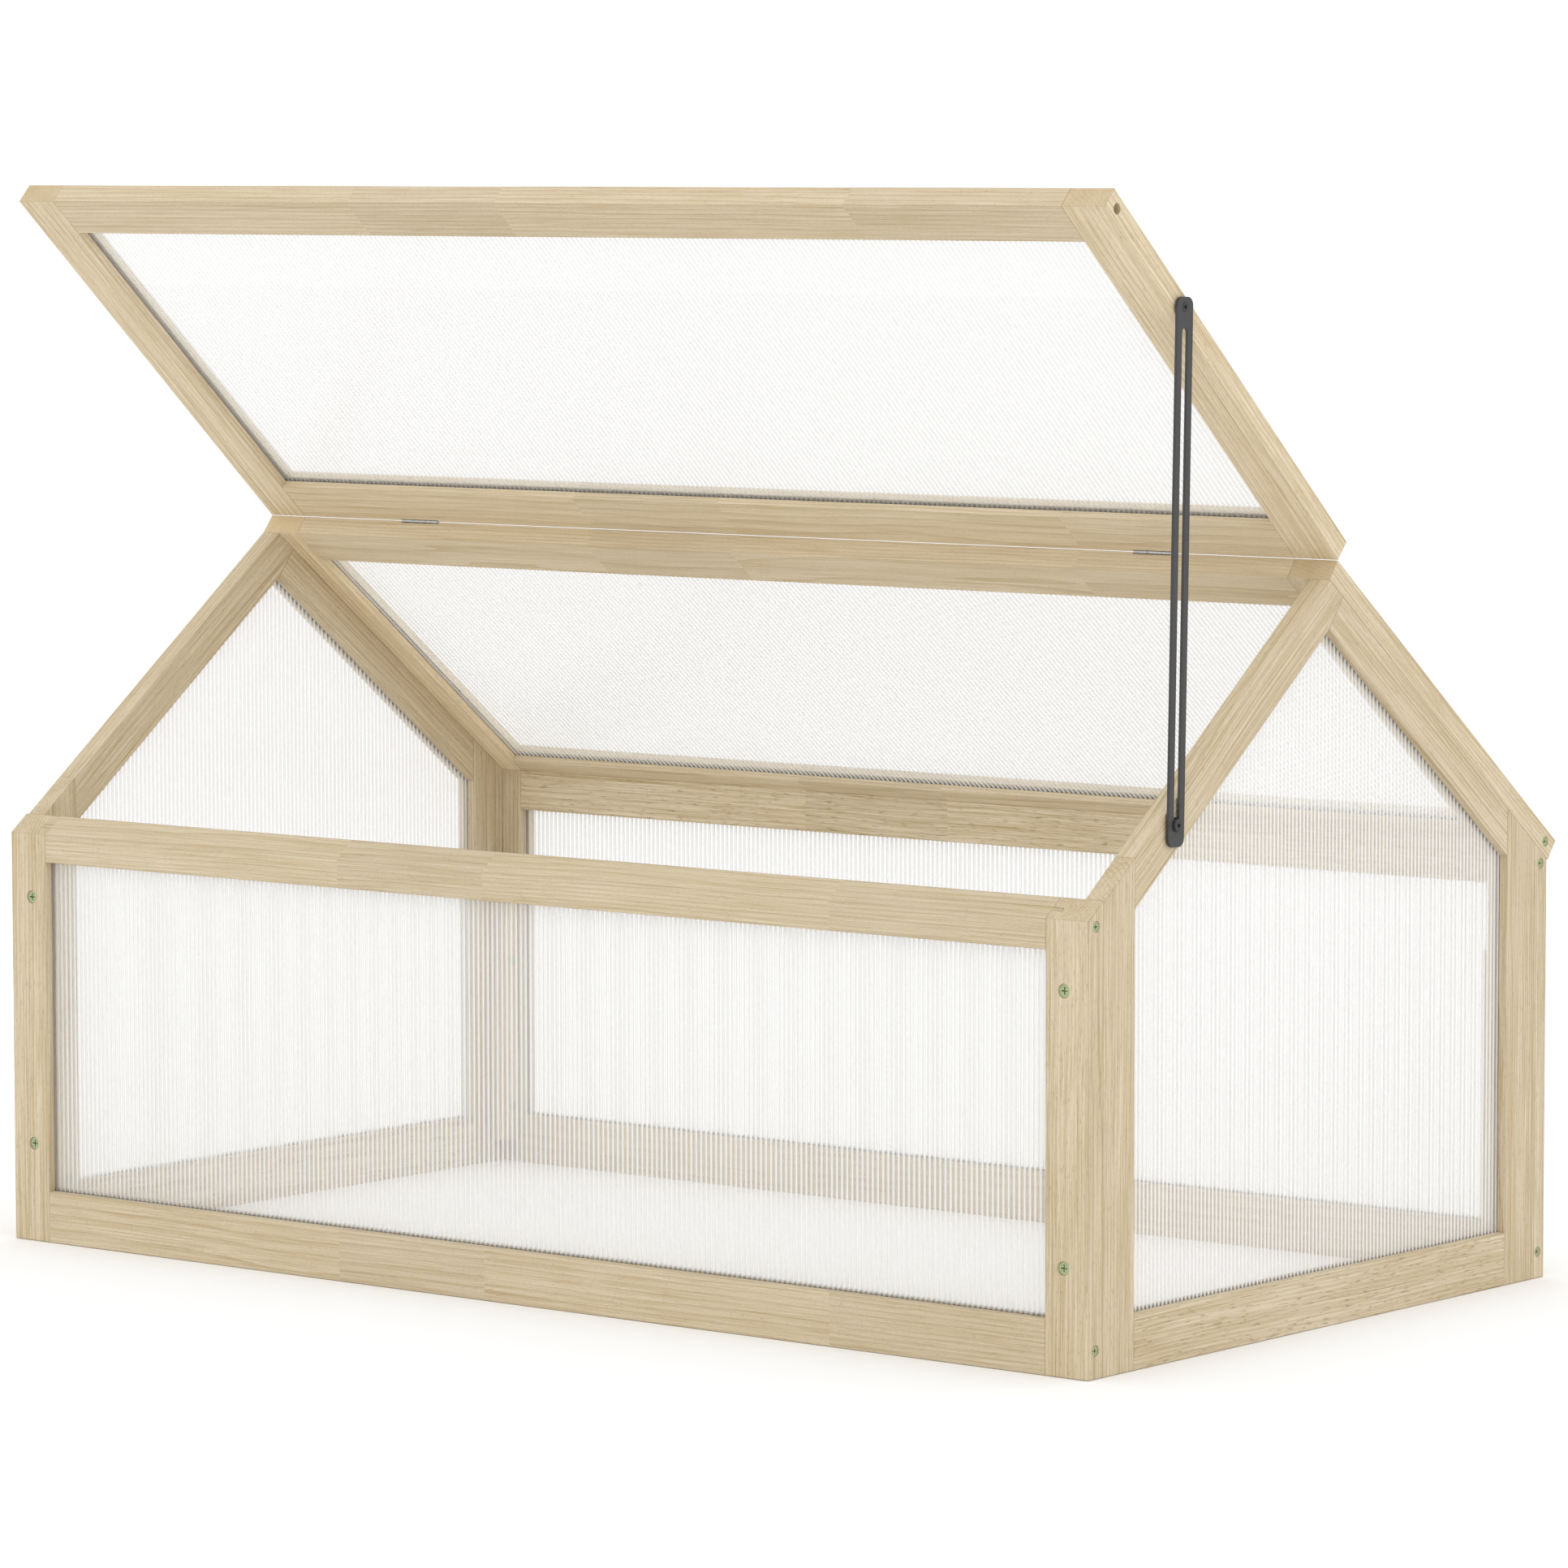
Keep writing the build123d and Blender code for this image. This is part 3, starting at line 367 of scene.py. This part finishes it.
def twin_wall_polycarbonate(name, face, across, number):
    """Clear extruded sheet with hazy skins, whiter ribs and dark flute ends along its rims."""
    finish, tree = new_finish("twin_wall_polycarbonate_" + name)
    spot = add(tree, "TexCoord")
    place = spot.outputs["Object"]
    facing = add(tree, "VectorMath", {0: spot.outputs["Normal"], 1: face}, operation="DOT_PRODUCT")
    squarely = add(tree, "Math", {0: facing.outputs["Value"]}, operation="ABSOLUTE")
    is_rib = add(tree, "Math", {0: squarely.outputs[0], 1: 0.7}, operation="LESS_THAN").outputs[0]
    weld = weld_lines(tree, place, name, face, across)

    cloudy = add(tree, "TexNoise", {"Vector": place, "Scale": 14.0 + number, "Detail": 1.0}).outputs["Fac"]
    uneven = add(tree, "Math", {0: cloudy, 1: 0.1, 2: 0.95}, operation="MULTIPLY_ADD").outputs[0]
    skin = add(tree, "MapRange", {"Value": weld, "To Min": SKIN_ALPHA, "To Max": WELD_ALPHA}).outputs[0]
    clear = add(tree, "Mix", {0: is_rib, 2: skin, 3: RIB_ALPHA}).outputs[0]
    alpha = add(tree, "Math", {0: clear, 1: uneven}, operation="MULTIPLY").outputs[0]

    rim = 0.0
    for normal, offset in lower_rims(name):
        height = add(tree, "VectorMath", {0: place, 1: normal}, operation="DOT_PRODUCT").outputs["Value"]
        near = add(tree, "MapRange", {"Value": height, "From Min": offset + RIM_DEPTH, "From Max": offset})
        rim = add(tree, "Math", {0: near.outputs[0], 1: rim}, operation="MAXIMUM").outputs[0]
    dark = add(tree, "Math", {0: rim, 1: is_rib}, operation="MULTIPLY").outputs[0]
    marked = add(tree, "Math", {0: is_rib, 1: weld}, operation="MAXIMUM").outputs[0]
    tint = add(tree, "Mix", {0: marked, 6: HAZE, 7: RIB}, data_type="RGBA").outputs[2]
    tint = add(tree, "Mix", {0: dark, 6: tint, 7: FLUTE_SHADOW}, data_type="RGBA").outputs[2]
    alpha = add(tree, "Math", {0: dark, 1: DARK_RIM_ALPHA, 2: alpha}, operation="MULTIPLY_ADD",
                use_clamp=True).outputs[0]

    ripple = add(tree, "Bump", {"Height": cloudy, "Strength": 0.01, "Distance": 1 * MM}).outputs[0]
    worn = add(tree, "MapRange", {"Value": cloudy, "To Min": 0.1, "To Max": 0.35}).outputs[0]
    body = add(tree, "BsdfPrincipled", {"Base Color": tint, "Roughness": worn, "Normal": ripple,
                                        "Alpha": alpha, "IOR": 1.585})
    add(tree, "OutputMaterial", {"Surface": body.outputs[0]})
    return finish


for number, (sheet, (face, across)) in enumerate(SHEETS.items()):
    give(sheet, twin_wall_polycarbonate(sheet, face, across, number))
print("sheets:", len(SHEETS))

# %% [markdown]
# ## Screws, hinges and stay
# The wood screws are steel with a yellow-green passivated zinc skin, the hinges are bright zinc, and the
# strap is powder coated: a matt charcoal film with a fine orange-peel skin. Zinc sets in small crystals,
# so both zinc finishes vary a little from place to place. Tools rub the coating off sharp edges, where a
# lighter metal shows. The stay's screws are black steel.

# %% Metal finishes
def coated_metal(name, base, worn, metallic, roughness, mark, relief):
    """Metal with a coating that varies over marks of a given size in mm and is rubbed at the edges."""
    finish, tree = new_finish(name)
    place = add(tree, "TexCoord").outputs["Object"]
    crystals = add(tree, "TexVoronoi", {"Vector": place, "Scale": 1 / (mark * MM)}).outputs["Color"]
    level = add(tree, "SeparateColor", {0: crystals}).outputs[0]
    peel = add(tree, "TexNoise", {"Vector": place, "Scale": 1 / (0.6 * MM), "Detail": 2.0}).outputs["Fac"]
    rounded, rubbed = rounded_edges(tree, 0.5 * MM, 0.98, 0.7, 0.6)
    varied = add(tree, "MapRange", {"Value": level, "To Min": 0.86, "To Max": 1.08}).outputs[0]
    skin = add(tree, "VectorMath", {0: base[:3], "Scale": varied}, operation="SCALE").outputs[0]
    tint = add(tree, "Mix", {0: rubbed, 6: skin, 7: worn}, data_type="RGBA").outputs[2]
    sockets = {"Value": peel, "To Min": roughness - 0.1, "To Max": roughness + 0.1}
    dull = add(tree, "MapRange", sockets).outputs[0]
    bumped = add(tree, "Bump", {"Height": peel, "Normal": rounded, "Strength": relief,
                                "Distance": 0.1 * MM}).outputs[0]
    body = add(tree, "BsdfPrincipled", {"Base Color": tint, "Metallic": metallic, "Roughness": dull,
                                        "Normal": bumped})
    add(tree, "OutputMaterial", {"Surface": body.outputs[0]})
    return finish


green_zinc = coated_metal("green_passivated_zinc", colour("A9B58A"), colour("C9D0B4"), 0.45, 0.42, 0.9, 0.2)
bright_zinc = coated_metal("bright_zinc_plate", colour("B9BABB"), colour("D2D3D4"), 1.0, 0.34, 2.2, 0.15)
powder_coat = coated_metal("charcoal_powder_coat", colour("363535"), colour("484747"), 0.0, 0.5, 1.3, 0.5)
black_oxide = coated_metal("black_oxide_steel", colour("2E2D2D"), colour("424141"), 0.2, 0.45, 1.0, 0.2)
METALS = {"screw_steel": green_zinc, "hinge_steel": bright_zinc, "stay_metal": powder_coat,
          "stay_fixings": black_oxide}
for part in frame["record"]["subparts"]:
    if part["material_slot"] in METALS:
        give(part["node"], METALS[part["material_slot"]])
print("metal finishes:", len(METALS))

# %% [markdown]
# ## Floor and light
# A studio for garden furniture is a white room: a broad even light from all round, one large soft box high
# at the front to lean the shading slightly, and a pale floor that runs out of sight. The floor lies a hair
# below the frame so that the two planes don't flicker.

# %% Floor
bpy.ops.object.select_all(action="DESELECT")
bpy.ops.mesh.primitive_plane_add(size=60, location=(0, 0, -0.3 * MM))
floor = bpy.context.object
floor.name = "studio_floor"
pale, tree = new_finish("painted_studio_floor")
spot = add(tree, "TexCoord").outputs["Object"]
scuffs = add(tree, "TexNoise", {"Vector": spot, "Scale": 3.0, "Detail": 4.0}).outputs["Fac"]
paint = add(tree, "Mix", {0: scuffs, 6: colour("FAFAFA"), 7: colour("F6F6F6")}, data_type="RGBA").outputs[2]
body = add(tree, "BsdfPrincipled", {"Base Color": paint, "Roughness": 0.9, "Specular IOR Level": 0.1})
add(tree, "OutputMaterial", {"Surface": body.outputs[0]})
floor.data.materials.append(pale)
print("floor size in metres:", round(floor.dimensions.x))

# %% Light
world = bpy.data.worlds.new("white_room")
world.use_nodes = True
background = world.node_tree.nodes["Background"]
background.inputs["Color"].default_value = (1, 1, 1, 1)
background.inputs["Strength"].default_value = 1.17
bpy.context.scene.world = world

SOFT_BOX_PLACE = Vector((1.6, -3.2, 3.4))
bpy.ops.object.light_add(type="AREA", location=SOFT_BOX_PLACE)
soft_box = bpy.context.object
soft_box.data.size = 2.6
soft_box.data.energy = 10
soft_box.rotation_euler = (Vector((0, 0, 0.3)) - SOFT_BOX_PLACE).to_track_quat("-Z", "Y").to_euler()
print("soft box energy in watts:", soft_box.data.energy)

# %% [markdown]
# ## Camera
# A long lens from five and a half metres keeps the uprights nearly parallel. The camera stands off the
# right-hand front corner at about table height and looks slightly down at a point above the middle of the
# base. Its tiny roll is part of the aim.

# %% Camera
AZIMUTH = radians(38.818)
ELEVATION = radians(5.1425)
ROLL = radians(-0.0885)
EYE = Vector((3.5647, -4.4058, 0.89556))
forward = Vector((-sin(AZIMUTH) * cos(ELEVATION), cos(AZIMUTH) * cos(ELEVATION), -sin(ELEVATION)))
level = forward.cross(UPRIGHT).normalized()
up = level.cross(forward)
right = level * cos(ROLL) + up * sin(ROLL)
up = up * cos(ROLL) - level * sin(ROLL)
turned = Matrix((right, up, -forward)).transposed().to_4x4()
lens = bpy.data.cameras.new("long_lens")
lens.sensor_width = 36
lens.lens = 161.8
camera = bpy.data.objects.new("camera", lens)
camera.matrix_world = Matrix.Translation(EYE) @ turned
bpy.context.scene.collection.objects.link(camera)
bpy.context.scene.camera = camera
print("camera distance in metres:", round(EYE.length, 2))

# %% [markdown]
# ## Picture settings
# Light passes up to a dozen thin clear walls on its way through the frame, so the limit on clear bounces
# is raised. The plain view transform keeps the hex colours as they were chosen.

# %% Picture settings
bpy.context.scene.view_settings.view_transform = "Standard"
bpy.context.scene.cycles.transparent_max_bounces = 64
bpy.context.scene.cycles.diffuse_bounces = 8
print("view transform:", bpy.context.scene.view_settings.view_transform)
